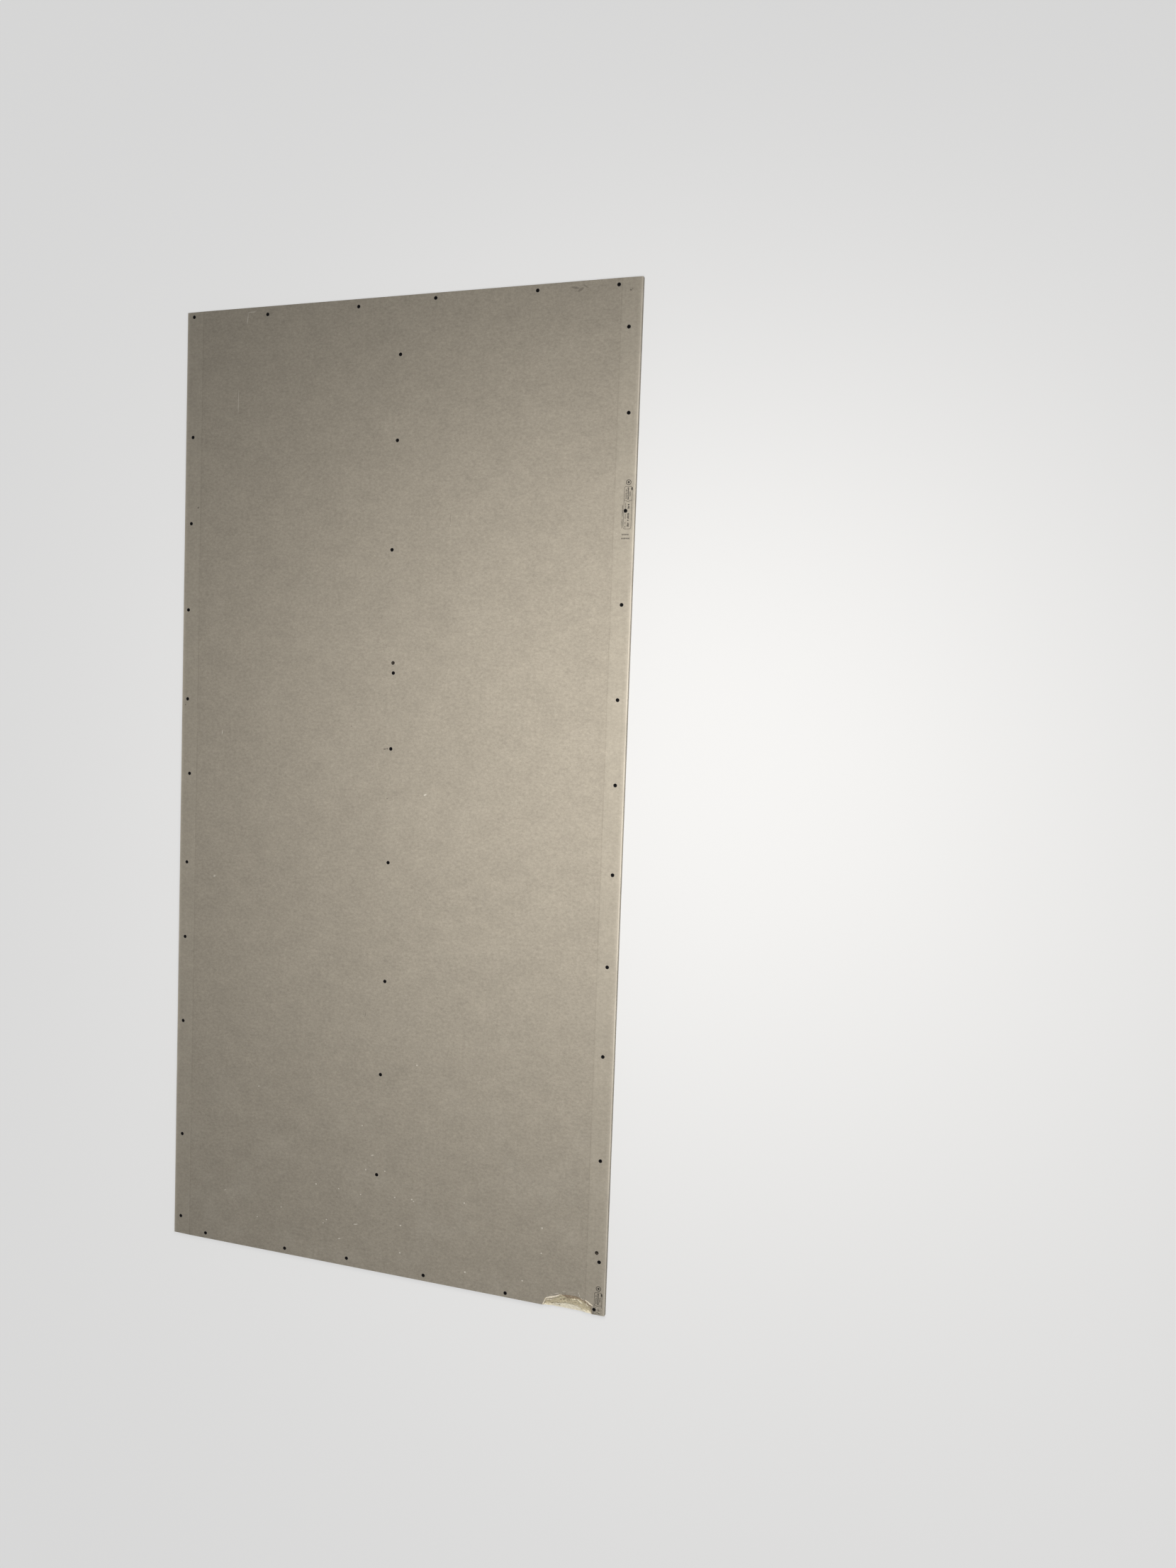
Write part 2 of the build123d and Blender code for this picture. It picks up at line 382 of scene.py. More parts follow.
    # Core, where the board was sawn, drilled or broken. The papers show as thin brown lines at its edges
    from_skin = wiring.least(depth, at["Z"], wiring.minus(half_width, side))
    two_papers = 2 * paper_thickness
    doubled = wiring.rising(side, half_width - 0.0202, half_width - 0.0200, paper_thickness, two_papers)
    from_skin = wiring.least(wiring.minus(from_skin, paper_thickness), wiring.minus(at["Z"], doubled))
    ragged_skin = wiring.math("MULTIPLY_ADD", frayed, 0.0003, wiring.minus(from_skin, 0.00015))
    in_core = wiring.rising(ragged_skin, -0.00005, 0.00008)
    below_face = wiring.math("GREATER_THAN", depth, 0.00006)
    above_back = wiring.math("GREATER_THAN", at["Z"], 0.00002)
    inside_edges = wiring.math("LESS_THAN", side, half_width - 0.0022)
    sawn = wiring.math("GREATER_THAN", end, half_length - 0.00005)
    cut = wiring.most(wiring.product(below_face, inside_edges, above_back), sawn)
    saw_lines = wiring.noise(wiring.placed(place, scale=(1.0, 1.0, 0.16)), 700.0)
    core = wiring.group(
        gypsum_body, Place=place, Body=colour(224, 216, 196), Powder=colour(246, 241, 228),
        Crushed=wiring.rising(saw_lines, 0.35, 0.7, 0.25, 0.6),
    )
    skin = wiring.mixed(wiring.rising(frayed, 0.35, 0.65), colour(128, 116, 98), colour(168, 158, 138))
    opened = wiring.mixed(in_core, skin, core["Color"])
    # Painted shade: round the empty holes the core is coloured dark, as the shade down their open bores
    opened = wiring.mixed(wiring.rising(to_empty, 0.0070, 0.0060), opened, colour(74, 67, 57))
    wiring.feed(shader["Base Color"], wiring.mixed(cut, paper, opened))

    roughness = wiring.rising(in_taper, 0.0, 1.0, 0.93, 0.84)
    roughness = wiring.math("ADD", roughness, wiring.product(wiring.minus(frayed, 0.5), 0.08))
    wiring.feed(shader["Roughness"], wiring.most(roughness, wiring.product(cut, 0.97)))
    height = wiring.minus(pulp["Height"], wiring.product(crease, 0.00006))
    wiring.feed(shader["Normal"], wiring.bump(wiring.mixed_value(cut, height, core["Height"])))
    return material


sheet.data.materials.clear()
sheet.data.materials.append(board_material())


# Drywall screws: black phosphated steel, with a trumpet-shaped head, a cross recess and a coarse thread.
# Each is driven until its head sits just below the face, and two holes stay empty. The shanks end inside
# the board, because the part has nothing behind it for them to go into.
head_radius = 0.0043
head_rim = 0.0003
head_bevel_in = 0.0002
head_bevel_down = 0.00012
head_length = 0.0045
head_steps = 28
flare_steps = 7
flare_power = 2.2
flare_share = 0.94
core_radius = 0.00115
shank_short_of_back = 0.0013
thread_radius = 0.0017
thread_pitch = 0.0018
thread_turns = 2.8
thread_steps = 14
recess_reach = 0.0022
recess_half_width = 0.00058
recess_inner_corner = 1.25
recess_depth = 0.0021
recess_narrowing = 0.42
recess_point = 0.0004
head_sink = 0.00030
sink_by_eye = (-0.0001, 0.00025)
most_lean = 1.2


def finished_mesh(name, work):
    """Writes a bmesh into a new mesh."""
    mesh = bpy.data.meshes.new(name)
    work.to_mesh(mesh)
    work.free()
    return mesh


def put_in_scene(name, data):
    """A new object in the scene, at the origin."""
    made = bpy.data.objects.new(name, data)
    bpy.context.scene.collection.objects.link(made)
    return made


def turned(work, outline, steps, closed=False):
    """Turns an outline, given as pairs of a radius and a height, right round the Z axis."""
    corners = [work.verts.new((radius, 0.0, height)) for radius, height in outline]
    following = corners[1:] + corners[:1] if closed else corners[1:]
    edges = [work.edges.new(pair) for pair in zip(corners, following)]
    bmesh.ops.spin(
        work, geom=corners + edges, cent=(0, 0, 0), axis=(0, 0, 1), dvec=(0, 0, 0), angle=math.tau,
        steps=steps, use_merge=True,
    )


def screw_shape():
    """One screw with the middle of its head's top at the origin and its shank down the Z axis."""
    screw = bmesh.new()
    shank_end = -(sheet_thickness - taper_depth - shank_short_of_back)
    outline = [(head_radius - head_bevel_in, 0.0), (head_radius, -head_bevel_down), (head_radius, -head_rim)]
    for step in range(1, flare_steps + 1):
        down = step / flare_steps
        flare = (1 - down) ** flare_power
        radius = core_radius + (head_radius - core_radius) * flare * flare_share
        outline.append((radius, -head_rim - (head_length - head_rim) * down))
    turned(screw, outline + [(core_radius, shank_end), (0.0, shank_end)], head_steps)
    bmesh.ops.remove_doubles(screw, verts=screw.verts, dist=1e-6)

    # The recess: a cross sunk into the top, narrower at its bottom, and the ring of steel left round it
    far, near = recess_reach, recess_half_width
    inner = near * recess_inner_corner
    cross = [(far, near), (inner, inner), (near, far)]
    cross += [(-y, x) for x, y in cross] + [(-x, -y) for x, y in cross] + [(y, -x) for x, y in cross]
    bottom = screw.faces.new([screw.verts.new((x, y, 0.0)) for x, y in cross])
    sunk = bmesh.ops.extrude_discrete_faces(screw, faces=[bottom])["faces"][0]
    bmesh.ops.scale(screw, vec=(recess_narrowing, recess_narrowing, 1.0), verts=sunk.verts)
    bmesh.ops.translate(screw, vec=(0.0, 0.0, -recess_depth), verts=sunk.verts)
    bmesh.ops.poke(screw, faces=[sunk], offset=-recess_point)
    around = [edge for edge in screw.edges if edge.is_boundary]
    bmesh.ops.triangle_fill(
        screw, use_beauty=True, use_dissolve=False, edges=around, normal=(0.0, 0.0, 1.0),
    )

    # The thread: one ridge wound round the shank from under the head to its end
    top = -head_length + 0.0002
    ridge = [(core_radius * 0.9, 0.0), (thread_radius, 0.22), (core_radius * 0.9, 0.44)]
    ridge = [screw.verts.new((radius, 0.0, top - thread_pitch * share)) for radius, share in ridge]
    section = screw.faces.new(ridge)
    steps = int(thread_turns * thread_steps)
    bmesh.ops.spin(
        screw, geom=[section, *section.edges, *ridge], cent=(0, 0, 0), axis=(0, 0, 1),
        dvec=(0, 0, -thread_pitch * thread_turns / steps), angle=math.tau * thread_turns, steps=steps,
        use_duplicate=False,
    )
    bmesh.ops.recalc_face_normals(screw, faces=screw.faces)
    return finished_mesh("screw_shape", screw)


def phosphate_material():
    """A dull black phosphate coat of fine crystals, with a little gypsum dust smeared on it."""
    material, wiring, shader, place = new_material("black_phosphate")
    crystals = wiring.noise(place, 2600.0)
    smears = wiring.noise(place, 420.0, detail=3.0)
    steel = wiring.mixed(wiring.rising(crystals, 0.3, 0.75), colour(7, 7, 8), colour(21, 21, 23))
    dust = wiring.rising(smears, 0.64, 0.86, 0.0, 0.10)
    wiring.feed(shader["Base Color"], wiring.mixed(dust, steel, colour(150, 145, 132)))
    wiring.feed(shader["Metallic"], wiring.rising(dust, 0.0, 0.2, 0.35, 0.0))
    wiring.feed(shader["Roughness"], wiring.rising(crystals, 0.3, 0.7, 0.55, 0.75))
    wiring.feed(shader["Specular IOR Level"], 0.12)
    wiring.feed(shader["Normal"], wiring.bump(wiring.product(crystals, 0.00002), strength=0.6))
    return material


def face_height(x):
    """Height of the good face at a distance x from the sheet's middle line."""
    into_taper = max(0.0, abs(x) - (half_width - taper_width))
    return sheet_thickness - taper_depth * into_taper / taper_width


def link_piece(name, work, material, smooth_angle):
    """Makes a bmesh a piece that rides with the sheet, faces outward, with edges sharp past an angle."""
    bmesh.ops.recalc_face_normals(work, faces=work.faces)
    for face in work.faces:
        face.smooth = True
    for edge in work.edges:
        edge.smooth = len(edge.link_faces) == 2 and edge.calc_face_angle() < math.radians(smooth_angle)
    piece = put_in_scene(name, finished_mesh(name, work))
    piece.data.materials.append(material)
    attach(piece, "root")
    return piece


def row_of(hole):
    """The row a screw stands in, by its place."""
    x, y = hole
    row_breadth = 0.03
    if y > half_length - row_breadth:
        return "top_row"
    if y < row_breadth - half_length:
        return "bottom_row"
    if abs(x) < row_breadth:
        return "middle_row"
    return "left_row" if x < 0 else "right_row"


def drive_screws():
    """One piece for each row, with its screws driven by eye: a little askew and not all equally deep."""
    shape = screw_shape()
    phosphate = phosphate_material()
    by_eye = random.Random(12)
    for row in ("top_row", "left_row", "middle_row", "right_row", "bottom_row"):
        work = bmesh.new()
        for x, y in [hole for hole in screwed_holes if row_of(hole) == row]:
            before = len(work.verts)
            work.from_mesh(shape)
            work.verts.ensure_lookup_table()
            lean = Matrix.Rotation(math.radians(by_eye.uniform(-most_lean, most_lean)), 4, "X")
            lean @= Matrix.Rotation(math.radians(by_eye.uniform(-most_lean, most_lean)), 4, "Y")
            turn = Matrix.Rotation(by_eye.uniform(0, math.tau), 4, "Z")
            sink = head_sink + by_eye.uniform(*sink_by_eye)
            seat = Matrix.Translation((x, y, face_height(x) - sink))
            bmesh.ops.transform(work, matrix=seat @ lean @ turn, verts=work.verts[before:])
        link_piece(row + "_screws", work, phosphate, 32.0)
    bpy.data.meshes.remove(shape)


drive_screws()


# Paper pressed into the screw seats. A screw drags the face paper down with its head, tears it round the
# head's rim and leaves a frayed collar on the wall of the seat. The empty holes keep a longer one.
# Its dark colour is partly the screw's phosphate dirt and partly painted shade in the seat; in the empty
# holes it is painted shade down the hole.
seat_radius = 0.00437
seat_slope = math.tan(math.radians(31))
collar_reach = 0.00052
empty_collar_reach = 0.0016
collar_steps = 30


def torn_paper_material(name, pulp_tone, fibre_tone, brown_tone):
    """Paper torn or rubbed open: its plies part, so fibres stand out and browner ones show between them."""
    material, wiring, shader, place = new_material(name)
    pulp = wiring.group(paper_pulp, Place=place, Pulp=pulp_tone, Fibre=fibre_tone, Contrast=1.6)
    brown = wiring.noise(place, 170.0, detail=3.0, roughness=0.7)
    torn = wiring.mixed(wiring.rising(brown, 0.52, 0.72, 0.0, 0.75), pulp["Color"], brown_tone)
    wiring.feed(shader["Base Color"], torn)
    wiring.feed(shader["Roughness"], wiring.rising(brown, 0.3, 0.7, 0.98, 0.86))
    wiring.feed(shader["Normal"], wiring.bump(pulp["Height"], distance=1.5))
    return material


def pressed_collars():
    """A ring of paper for each seat: a thin strip spun round it, frayed at its lower edge."""
    frayed = random.Random(5)
    work = bmesh.new()
    for x, y in holes:
        empty = (x, y) in empty_holes
        reach = empty_collar_reach if empty else collar_reach
        half_way = seat_radius - 0.5 * seat_slope * reach
        foot = seat_radius - seat_slope * reach
        strip = [
            (seat_radius, -0.00002), (half_way, -0.5 * reach), (foot, -reach),
            (foot - 0.00012, 0.00004 - reach), (half_way - 0.00010, 0.00004 - 0.5 * reach),
            (seat_radius - 0.00007, -0.00004),
        ]
        before = len(work.verts)
        turned(work, strip, collar_steps, closed=True)
        work.verts.ensure_lookup_table()
        for corner in work.verts[before:]:
            angle = math.atan2(corner.co.y, corner.co.x)
            radius = math.hypot(corner.co.x, corner.co.y)
            if corner.co.z < -0.8 * reach:
                radius -= frayed.uniform(-0.00012, 0.00040 if empty else 0.00025)
                corner.co.z += frayed.uniform(0.0, 0.0001)
            corner.co.x, corner.co.y = x + radius * math.cos(angle), y + radius * math.sin(angle)
            corner.co.z += face_height(corner.co.x)
    # Dark tones: phosphate dirt and painted shade in the seats
    tones = colour(52, 47, 40), colour(96, 88, 76), colour(36, 32, 27)
    pressed_paper_dirt_and_shade = torn_paper_material("pressed_paper_dirt_and_shade", *tones)
    link_piece("pressed_paper_collars", work, pressed_paper_dirt_and_shade, 60.0)


pressed_collars()


# The broken corner. A knock at the bottom end broke the face away in two layers and tore its paper back.
# The core shows as a rough hollow, crushed pale along the cut end. Brown torn plies hang over its rim, and
# bands of the paper's pale inner ply line the rim on both slopes.
break_start, break_stop = 0.436, 0.584
break_reach = 0.042
grain_step = 0.00065
torn_end_depth = 0.0056
torn_floor_slope = 0.105
powder_reach = 0.0042
seat_clearance = 0.0046
hair_inside = 0.0001
patch_thickness = 0.0012
ply_thickness = 0.00022
below_face_top = 0.00002
crumb_count = 26
crumb_sizes = (0.0003, 0.0004, 0.0005, 0.0006, 0.0009)
break_masks = ("crushed", "ply", "brown", "shaded")

# Profiles along the break, as pairs of a distance from the left edge and a value, all in mm: how far up the
# sheet the core is crushed, how deep the torn plies hang, and how brown they are from 0 to 1
crushed_reach = [
    (1043, 1.5), (1060, 3.5), (1078, 8.0), (1100, 12.0), (1128, 13.5), (1142, 7.0), (1160, 4.0),
    (1173, 3.0),
]
ply_reach = [
    (1043, 0.4), (1090, 0.6), (1098, 1.5), (1108, 2.6), (1128, 2.6), (1140, 1.5), (1152, 1.9),
    (1166, 2.0), (1173, 0.8),
]
ply_brown = [(1043, 0.0), (1088, 0.2), (1100, 0.9), (1134, 1.0), (1146, 0.8), (1173, 0.7)]

# Dark pits in the core, as short lines on the tape with a half width, and the ridges that stand in it,
# which have a height too, all in mm
pits = [
    ((1088, 2382), (1092, 2380), 1.3), ((1098, 2379), (1101.5, 2376), 1.4),
    ((1067, 2393.4), (1070.5, 2392.2), 1.2), ((1049, 2395), (1051, 2393), 1.3),
    ((1084.5, 2396.6), (1087, 2396.2), 0.9),
]
ridges = [
    ((1133, 2372.5), (1142, 2379), 1.4, 1.6), ((1121, 2375), (1129, 2372), 1.1, 0.9),
    ((1153, 2379), (1157, 2383), 1.3, 0.9),
]

# Bands of torn ply. Each has how high it lifts along its line and along its other edge and the seed of its
# creases, and then that line as places on the tape with the band's width there, all in mm
ply_bands = [
    (0.1, 3.3, 8, (1092, 2363.5, 1.4), (1084, 2367.5, 3.6), (1077, 2370.5, 5.2), (1063, 2375, 5.8),
     (1052, 2380.5, 3.4)),
    (0.6, 1.0, 5, (1072, 2380.5, 1.2), (1066, 2383, 2.5), (1059, 2384.5, 3.0), (1053, 2387, 1.8)),
    (0.2, 0.4, 11, (1091.8, 2362.5, 1.0), (1091.4, 2366, 1.6), (1091.6, 2369.5, 1.2)),
    (0.1, 1.1, 17, (1051.5, 2383, 1.8), (1048, 2391, 3.0), (1045, 2398, 2.6)),
    (0.1, 0.9, 3, (1171, 2378.6, 2.4), (1164, 2373.9, 3.3), (1157, 2369.9, 3.1), (1152, 2367.6, 1.4)),
    (0.1, 0.3, 14, (1147, 2368.5, 1.0), (1143.5, 2367, 1.8), (1140, 2365.5, 0.8)),
]


def gypsum_material():
    """Broken core with torn plies on it. The piece's own masks say where each of them shows."""
    material, wiring, shader, place = new_material("broken_gypsum")
    crushed, ply, brown, shaded = [
        wiring.node("Attribute", {}, output="Fac", attribute_name=mask) for mask in break_masks
    ]
    core = wiring.group(
        gypsum_body, Place=place, Body=colour(210, 198, 168), Powder=colour(255, 247, 224), Crushed=crushed,
    )
    streaks = wiring.noise(place, 170.0, detail=3.0)
    body = wiring.mixed(wiring.rising(streaks, 0.48, 0.70, 0.0, 0.30), core["Color"], colour(168, 155, 124))
    body = wiring.mixed(wiring.product(shaded, 0.75), body, colour(104, 95, 76))
    ply_tone = wiring.mixed(brown, colour(201, 190, 169), colour(154, 134, 111))
    pulp = wiring.group(paper_pulp, Place=place, Pulp=ply_tone, Fibre=colour(214, 203, 182), Contrast=1.7)
    wiring.feed(shader["Base Color"], wiring.mixed(ply, body, pulp["Color"]))
    wiring.feed(shader["Roughness"], wiring.rising(ply, 0.0, 1.0, 0.97, 0.90))
    wiring.feed(shader["Normal"], wiring.bump(wiring.mixed_value(ply, core["Height"], pulp["Height"])))
    return material


def surface_of(piece):
    """A piece's surface, ready for its height to be looked up."""
    bpy.context.view_layer.update()
    return BVHTree.FromObject(piece, bpy.context.evaluated_depsgraph_get())


def surface_height(surface, x, y, otherwise):
    """Height of a surface at a place, looked at from above, or another height where it isn't met."""
    hit = surface.ray_cast(Vector((x, y, 0.05)), Vector((0.0, 0.0, -1.0)))[0]
    return hit.z if hit else otherwise


def off_end(y):
    """A place along the sheet that is kept a hair inside its cut end."""
    return max(y, hair_inside - half_length)


def over_seat(x, y, clearance):
    """True for a place so near the middle of a screw hole."""
    return any(math.hypot(x - hole[0], y - hole[1]) < clearance for hole in holes)


def clipped(share):
    """A share held between 0 and 1."""
    return min(1.0, max(0.0, share))


def profile(points, across):
    """The value of a profile at a distance from the left edge, on the straight line between its points."""
    for (start, low), (stop, high) in zip(points, points[1:]):
        if across < stop:
            return low + (high - low) * max(0.0, across - start) / (stop - start)
    return points[-1][1]


def on_line(across, down, start, stop, half_wide, off):
    """1 on a short line on the tape, falling to 0 outside its half width. off draws that edge in or out."""
    spot, start, stop = Vector((across, down)), Vector(start), Vector(stop)
    along = stop - start
    nearest = start + along * clipped((spot - start).dot(along) / along.length_squared)
    return clipped(1.5 - (nearest - spot).length / half_wide - off)


def crushed_depth(x, y):
    """How far the core is crushed below the hollow's sloping floor, in metres."""
    y = off_end(y)
    sloping_floor = sheet_thickness - torn_end_depth + torn_floor_slope * (y + half_length)
    return max(0.0, sloping_floor - surface_height(sheet_surface, x, y, sloping_floor))


def loose_powder(x, y):
    """The fill of loose powder against the steep side of the crushed part, in metres."""
    turns = [turn * math.tau / 8 for turn in range(8)]
    around = [(x + powder_reach * math.cos(turn), y + powder_reach * math.sin(turn)) for turn in turns]
    level = sum(crushed_depth(*spot) for spot in around) / 8
    return max(0.0, crushed_depth(x, y) - level)


def broken_surface(x, y):
    """How deep the hollow is at a place in mm, the height of its rough surface there in metres, and the
    masks that its material reads."""
    across, down = (x + half_width) * 1000, (half_length - y) * 1000
    up = 2000 * half_length - down
    face = face_height(x)
    seated = over_seat(x, y, seat_clearance)
    floor = face if seated else surface_height(sheet_surface, x, off_end(y), 0.0)
    deep = (face - floor) * 1000
    if deep > 0.5:
        floor += loose_powder(x, y)
    spot = Vector((x, y, 0.3))
    ragged = noise.fractal(spot * 260, 1.0, 2.0, 4)
    lumps = noise.fractal(spot * 105 + Vector((5, 1, 2)), 0.8, 2.0, 6)
    chips = noise.voronoi(spot * 330)[0][0]

    # Torn plies hang down from the rim and sag, and the core is bare below their ragged edge
    hangs = profile(ply_reach, across) * (1.0 + 0.35 * noise.noise(spot * 55)) + 0.55 * ragged
    bare = clipped((deep - hangs) / 0.25)
    fibres = abs(noise.fractal(Vector((x * 900, y * 260, 0.0)), 0.8, 2.0, 3))
    ply_height = face * 1000 - 0.10 - 0.55 * deep - 0.28 * fibres

    # Bare core is lumpy and chipped, and smoother where it is crushed, with a bank of powder at the cut end
    powder = clipped(0.5 + (profile(crushed_reach, across) - up + 3.0 * ragged) / 4.0)
    rise = 0.25 + (1.5 * max(0.0, lumps + 0.15) + 0.5 * chips) * (1 - 0.55 * powder)
    rise += 2.1 * powder * max(0.0, 1 - up / 12)
    pit = max(0.8 * on_line(across, down, *line, 0.9 * ragged + 0.5 * lumps) for line in pits)
    # Ridges stand in the core; their tops take the powder's pale colour, partly as crushed gypsum and partly
    # as a painted highlight
    ridge = 0.0
    for *line, height in ridges:
        share = on_line(across, down, *line, 1.1 * ragged + 0.5 * lumps) * (0.45 + 0.9 * chips)
        rise += height * share
        ridge = max(ridge, share)
    rise = 0.15 + (rise - 0.15) * (1 - pit)
    core_height = min(floor * 1000 + rise, face * 1000 - 0.2)

    height = face - 0.0003 if deep < 0.04 else (ply_height * (1 - bare) + core_height * bare) / 1000
    # Painted shade: the shaded mask darkens the core just under the hanging plies and in the pits
    shade_under_ply = 0.6 * clipped((hangs + 0.9 - deep) / 0.9)
    brown = clipped(profile(ply_brown, across) + 0.5 * ragged)
    return deep, height, (max(powder, ridge) * bare, 1 - bare, brown, max(pit, shade_under_ply) * bare)


def of_kind(geometry, kind):
    """The corners, edges or faces in what an operator gave back."""
    return [element for element in geometry if isinstance(element, kind)]


def backed(work):
    """Closes a surface with a copy that is joined to it round its rim, and gives the corners to be sunk."""
    copy = bmesh.ops.extrude_face_region(work, geom=work.faces[:], use_keep_orig=True)["geom"]
    return of_kind(copy, bmesh.types.BMVert)


def rough_break():
    """A fine grid over the hollow, raised to its rough surface, trimmed to its rim and closed below."""
    work = bmesh.new()
    wide = break_stop - break_start
    steps = round(wide / grain_step), round(break_reach / grain_step)
    bmesh.ops.create_grid(work, x_segments=steps[0], y_segments=steps[1], size=0.5)
    bmesh.ops.scale(work, vec=(wide, break_reach, 1.0), verts=work.verts)
    middle = ((break_start + break_stop) / 2, break_reach / 2 + 0.00005 - half_length, 0.0)
    bmesh.ops.translate(work, vec=middle, verts=work.verts)
    layers = [work.verts.layers.float.new(mask) for mask in break_masks]
    unbroken = set()
    for corner in work.verts:
        deep, corner.co.z, masks = broken_surface(corner.co.x, corner.co.y)
        for layer, mask in zip(layers, masks):
            corner[layer] = mask
        if deep < 0.02:
            unbroken.add(corner)
    outside = [face for face in work.faces if unbroken.issuperset(face.verts)]
    bmesh.ops.delete(work, geom=outside, context="FACES")
    for corner in backed(work):
        x, y, z = corner.co
        floor = surface_height(sheet_surface, x, off_end(y), z)
        corner.co.z = max(min(z, floor) - patch_thickness, 0.001)
    return link_piece("broken_gypsum", work, broken_gypsum, 75.0)


broken_gypsum = gypsum_material()
sheet_surface = surface_of(sheet)
rough_surface = surface_of(rough_break())


def paper_strip(work, low, high, seed, *line):
    """A strip of torn ply. It runs along its line, is widened to the right of it, lies on what is below and
    lifts from low along the line to high along its other edge."""
    before = len(work.verts)
    start = [work.verts.new((*tape(across, down), 0.0)) for across, down, wide in line]
    widths = [wide / 1000 for across, down, wide in line]
    root = [corner.co.copy() for corner in start]
    edges = [work.edges.new(pair) for pair in zip(start, start[1:])]
    new = bmesh.ops.extrude_edge_only(work, edges=edges)["geom"]
    for corner in of_kind(new, bmesh.types.BMVert):
        number = min(range(len(root)), key=lambda place: (corner.co - root[place]).length)
        ahead = root[min(number + 1, len(root) - 1)] - root[max(number - 1, 0)]
        corner.co += Vector((-ahead.y, ahead.x, 0.0)).normalized() * widths[number]
    sides = dict.fromkeys(edge for face in of_kind(new, bmesh.types.BMFace) for edge in face.edges)
    bmesh.ops.subdivide_edges(work, edges=list(sides), cuts=5, use_grid_fill=True)
    work.verts.ensure_lookup_table()
    for corner in work.verts[before:]:
        x, y, _ = corner.co
        share = min(1.0, min((corner.co - place).length for place in root) / max(widths))
        spot = Vector((x, y, seed))
        corner.co.x += 0.0007 * noise.noise(spot * 500)
        corner.co.y = off_end(corner.co.y + 0.0007 * noise.noise(spot * 460 + Vector((3, 3, 3))))
        below = max(surface_height(surface, x, y, 0.0) for surface in (rough_surface, sheet_surface))
        lift = low + (high - low) * share + 0.30 * noise.noise(spot * 380)
        corner.co.z = below + max(lift, 0.02) / 1000


def torn_plies():
    """Bands of the face paper's pale inner ply, along the rim and a little into the hollow."""
    work = bmesh.new()
    for band in ply_bands:
        paper_strip(work, *band)
    for corner in work.verts:
        corner.co.z = min(corner.co.z, sheet_thickness - below_face_top)
    for corner in backed(work):
        corner.co.z -= ply_thickness
    tones = colour(242, 231, 210), colour(254, 247, 231), colour(200, 184, 158)
    link_piece("torn_plies", work, torn_paper_material("torn_paper", *tones), 60.0)


torn_plies()


def gypsum_crumbs():
    """Crumbs of gypsum that stayed in the hollow and along the cut end, and one on the scuffed paper."""
    strewn = random.Random(21)
    work = bmesh.new()
    lying = []
    while len(lying) < crumb_count:
        x, y = tape(strewn.uniform(1048, 1170), strewn.uniform(2372, 2399))
        size = strewn.choice(crumb_sizes)
        below = surface_height(rough_surface, x, y, 0.0)
        if 0.0 < below < face_height(x) - size - 0.0010 and y - size > -half_length:
            lying.append((x, y, below, size))
    x, y = tape(1187.2, 2392.5)
    lying.append((x, y, face_height(x) - 0.0001, 0.0012))
    for number, (x, y, below, size) in enumerate(lying):
        crumb = bmesh.ops.create_icosphere(work, subdivisions=1, radius=size)["verts"]
        spin = Matrix.Rotation(strewn.uniform(0, math.tau), 4, (0.3, 0.5, 0.8))
        shape = Matrix.Diagonal((1.0, strewn.uniform(0.7, 0.95), 0.6, 1.0))
        for corner in crumb:
            corner.co += corner.co * 0.9 * noise.noise(corner.co * 1.1 / size + Vector((number, 0, 0)))
        place = Matrix.Translation((x, y, below + 0.35 * size))
        bmesh.ops.transform(work, matrix=place @ shape @ spin, verts=crumb)
    crushed = work.verts.layers.float.new("crushed")
    for corner in work.verts:
        corner[crushed] = 0.45
        corner.co.z = min(corner.co.z, sheet_thickness - below_face_top)
    link_piece("gypsum_crumbs", work, broken_gypsum, 12.0)


gypsum_crumbs()


# Works stamps, printed in black ink by the board line in the right taper. Each has a ring, a framed block
# of short lines and two rows of figures. They are plain bars and ticks, as a worn stamp reads from afar.
stamp_tops = (455, 2336)
stamp_seed = 40
ring_line = 1183.6
stroke = 0.78
ink_height = 0.00004
ink_off_seat = 0.0048
scuff_middle = (1185, 2391)
scuff_radius = 0.011
scuffed_share = 0.55
cut_starts = (440, 2325)
cut_step = 1.4
cut_count = 110

# Lines of print that run down each stamp: the distance from the left edge, where a line starts and stops
# below the middle of the ring, and the size of its print, all in mm
print_lines = [
    (1178.6, 16, 37, 2.0), (1183.4, 11.5, 39, 2.9), (1188.0, 21, 32, 2.1), (1171.4, 51.5, 104, 1.7),
    (1178.6, 45.5, 59, 1.5), (1178.6, 71, 83, 1.5), (1178.6, 89, 102, 1.8), (1185.2, 49, 59, 4.6),
    (1185.2, 69, 81, 4.4),
]


def ink_material():
    """Thin black ink, starved of colour in places, so that the paper shows through its pinholes."""
    material, wiring, shader, place = new_material("stamp_ink")
    starved = wiring.noise(place, 900.0, detail=3.0)
    uneven = wiring.noise(place, 130.0, detail=1.0)
    ink = wiring.mixed(wiring.rising(starved, 0.35, 0.75), colour(33, 30, 27), colour(74, 68, 60))
    wiring.feed(shader["Base Color"], ink)
    wiring.feed(shader["Roughness"], wiring.rising(starved, 0.3, 0.7, 0.62, 0.86))
    covered = wiring.minus(wiring.math("MULTIPLY_ADD", uneven, 0.5, 0.48), starved)
    wiring.feed(shader["Alpha"], wiring.rising(covered, -0.02, 0.10, 0.45, 1.0))
    return material


